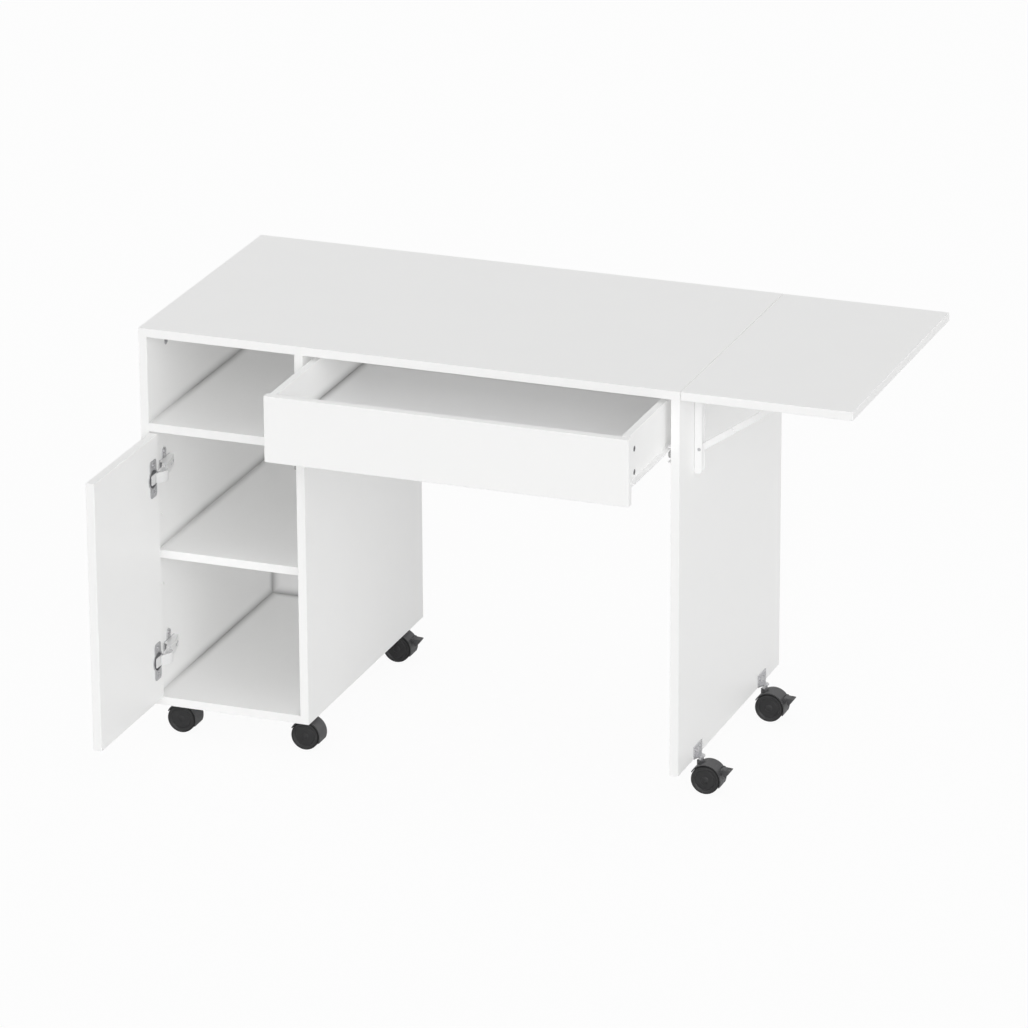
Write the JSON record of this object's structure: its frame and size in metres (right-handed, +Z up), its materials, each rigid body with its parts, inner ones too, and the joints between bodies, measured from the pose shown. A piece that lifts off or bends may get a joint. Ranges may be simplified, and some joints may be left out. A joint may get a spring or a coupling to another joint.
{
  "type": "folding desk",
  "caption": "White folding desk on casters with an open cubby, a hinged cabinet door, a wide drawer and a drop leaf on folding brackets.",
  "frame": {"origin": "on the floor under the middle of the desk's overall length and depth, with the leaf raised, the door open and the drawer part open", "axes": "+X along the desk towards the leaf, +Y from the drawer front towards the back, +Z up"},
  "size_m": [1.255, 0.799, 0.739],
  "materials": {
    "white_laminate": "satin white laminate on particle board",
    "hardboard": "thin board with a matt white face",
    "white_metal": "white powder coat on sheet steel",
    "zinc": "dull zinc plate",
    "steel": "bright plated steel",
    "dark_zinc": "dark cast zinc",
    "grey_nylon": "matt grey nylon",
    "black_nylon": "matt black nylon"
  },
  "bodies": {
    "root": {"top_panel": "white_laminate", "left_side_panel": "white_laminate", "divider_panel": "white_laminate", "right_leg_panel": "white_laminate", "cubby_floor": "white_laminate", "bottom_panel": "white_laminate", "back_panel": "hardboard", "adjustable_shelf": "white_laminate", "shelf_supports": "steel", "rear_rail": "white_laminate", "cam_locks": "zinc", "cam_bolts": "steel", "runner_channels": "white_metal", "bracket_wall_arms": "white_metal", "bracket_pivot_pins": "zinc", "hinge_plates": "steel", "hinge_arms": "steel", "door_catch": "grey_nylon", "cabinet_caster_plates": "zinc", "leg_caster_plates": "steel", "caster_stems": "steel"},
    "front_rollers": {"runner_front_rollers": "grey_nylon"},
    "drawer": {"drawer_front": "white_laminate", "drawer_left_side": "white_laminate", "drawer_right_side": "white_laminate", "drawer_back": "white_laminate", "drawer_bottom": "hardboard", "drawer_cam_locks": "dark_zinc", "drawer_runners": "white_metal"},
    "rear_rollers": {"runner_rear_rollers": "grey_nylon"},
    "door": {"cabinet_door": "white_laminate", "hinge_cups": "zinc"},
    "door_links": {"hinge_links": "steel"},
    "leaf": {"drop_leaf": "white_laminate", "bracket_leaf_arms": "white_metal", "bracket_leaf_pins": "zinc"},
    "brace_lower": {"brace_lower_links": "white_metal"},
    "brace_upper": {"brace_upper_links": "white_metal"},
    "caster_front_left": {"caster_hood_front_left": "black_nylon"},
    "wheels_front_left": {"caster_wheels_front_left": "black_nylon"},
    "caster_front_right": {"caster_hood_front_right": "black_nylon"},
    "wheels_front_right": {"caster_wheels_front_right": "black_nylon"},
    "caster_back_left": {"caster_hood_back_left": "black_nylon"},
    "wheels_back_left": {"caster_wheels_back_left": "black_nylon"},
    "lever_back_left": {"brake_lever_back_left": "black_nylon"},
    "caster_back_right": {"caster_hood_back_right": "black_nylon"},
    "wheels_back_right": {"caster_wheels_back_right": "black_nylon"},
    "lever_back_right": {"brake_lever_back_right": "black_nylon"},
    "caster_leg_front": {"caster_hood_leg_front": "black_nylon"},
    "wheels_leg_front": {"caster_wheels_leg_front": "black_nylon"},
    "lever_leg_front": {"brake_lever_leg_front": "black_nylon"},
    "caster_leg_back": {"caster_hood_leg_back": "black_nylon"},
    "wheels_leg_back": {"caster_wheels_leg_back": "black_nylon"},
    "lever_leg_back": {"brake_lever_leg_back": "black_nylon"}
  },
  "joints": [
    {"name": "drawer_slide", "type": "slide", "parent": "root", "child": "drawer", "axis": [0, -1, 0], "range_m": [-0.187, 0.143]},
    {"name": "front_rollers_turn", "type": "hinge", "parent": "root", "child": "front_rollers", "pos_m": [-0.0065, -0.1235, 0.6271], "axis": [1, 0, 0], "continuous": true},
    {"name": "rear_rollers_turn", "type": "hinge", "parent": "drawer", "child": "rear_rollers", "pos_m": [-0.0065, 0.0825, 0.6225], "axis": [1, 0, 0], "continuous": true},
    {"name": "door_swing", "type": "hinge", "parent": "root", "child": "door", "pos_m": [-0.612, -0.136, 0.31625], "axis": [0, 0, 1], "range_deg": [0, 90]},
    {"name": "door_links_turn", "type": "hinge", "parent": "root", "child": "door_links", "pos_m": [-0.5975, -0.113, 0.31625], "axis": [0, 0, 1], "range_deg": [0, 77]},
    {"name": "leaf_fold", "type": "hinge", "parent": "root", "child": "leaf", "pos_m": [0.3415, 0.132, 0.715], "axis": [0, 1, 0], "range_deg": [0, 90]},
    {"name": "brace_lower_turn", "type": "hinge", "parent": "root", "child": "brace_lower", "pos_m": [0.3415, 0.132, 0.616], "axis": [0, 1, 0], "range_deg": [-57, 0]},
    {"name": "brace_upper_turn", "type": "hinge", "parent": "leaf", "child": "brace_upper", "pos_m": [0.4895, 0.132, 0.715], "axis": [0, 1, 0], "range_deg": [0, 34.5]},
    {"name": "swivel_front_left", "type": "hinge", "parent": "root", "child": "caster_front_left", "pos_m": [-0.5935, -0.0855, 0.0533], "axis": [0, 0, 1], "continuous": true},
    {"name": "wheel_spin_front_left", "type": "hinge", "parent": "caster_front_left", "child": "wheels_front_left", "pos_m": [-0.581, -0.0855, 0.025], "axis": [0, 1, 0], "continuous": true},
    {"name": "swivel_front_right", "type": "hinge", "parent": "root", "child": "caster_front_right", "pos_m": [-0.3645, -0.0855, 0.0533], "axis": [0, 0, 1], "continuous": true},
    {"name": "wheel_spin_front_right", "type": "hinge", "parent": "caster_front_right", "child": "wheels_front_right", "pos_m": [-0.352, -0.0855, 0.025], "axis": [0, 1, 0], "continuous": true},
    {"name": "swivel_back_left", "type": "hinge", "parent": "root", "child": "caster_back_left", "pos_m": [-0.5935, 0.3415, 0.0533], "axis": [0, 0, 1], "continuous": true},
    {"name": "wheel_spin_back_left", "type": "hinge", "parent": "caster_back_left", "child": "wheels_back_left", "pos_m": [-0.581, 0.3415, 0.025], "axis": [0, 1, 0], "continuous": true},
    {"name": "brake_back_left", "type": "hinge", "parent": "caster_back_left", "child": "lever_back_left", "pos_m": [-0.5555, 0.3415, 0.04156], "axis": [0, 1, 0], "range_deg": [0, 12]},
    {"name": "swivel_back_right", "type": "hinge", "parent": "root", "child": "caster_back_right", "pos_m": [-0.3645, 0.3415, 0.0533], "axis": [0, 0, 1], "continuous": true},
    {"name": "wheel_spin_back_right", "type": "hinge", "parent": "caster_back_right", "child": "wheels_back_right", "pos_m": [-0.352, 0.3415, 0.025], "axis": [0, 1, 0], "continuous": true},
    {"name": "brake_back_right", "type": "hinge", "parent": "caster_back_right", "child": "lever_back_right", "pos_m": [-0.3265, 0.3415, 0.04156], "axis": [0, 1, 0], "range_deg": [0, 12]},
    {"name": "swivel_leg_front", "type": "hinge", "parent": "root", "child": "caster_leg_front", "pos_m": [0.3395, -0.0375, 0.0533], "axis": [0, 0, 1], "continuous": true},
    {"name": "wheel_spin_leg_front", "type": "hinge", "parent": "caster_leg_front", "child": "wheels_leg_front", "pos_m": [0.352, -0.0375, 0.025], "axis": [0, 1, 0], "continuous": true},
    {"name": "brake_leg_front", "type": "hinge", "parent": "caster_leg_front", "child": "lever_leg_front", "pos_m": [0.3775, -0.0375, 0.04156], "axis": [0, 1, 0], "range_deg": [0, 12]},
    {"name": "swivel_leg_back", "type": "hinge", "parent": "root", "child": "caster_leg_back", "pos_m": [0.3395, 0.3015, 0.0533], "axis": [0, 0, 1], "continuous": true},
    {"name": "wheel_spin_leg_back", "type": "hinge", "parent": "caster_leg_back", "child": "wheels_leg_back", "pos_m": [0.352, 0.3015, 0.025], "axis": [0, 1, 0], "continuous": true},
    {"name": "brake_leg_back", "type": "hinge", "parent": "caster_leg_back", "child": "lever_leg_back", "pos_m": [0.3775, 0.3015, 0.04156], "axis": [0, 1, 0], "range_deg": [0, 12]}
  ],
  "couplings": [
    {"joint": "door_links_turn", "follows": "door_swing", "ratio": 0.85},
    {"joint": "brace_lower_turn", "follows": "leaf_fold", "ratio": -0.62467},
    {"joint": "brace_upper_turn", "follows": "leaf_fold", "ratio": 0.37533}
  ]
}
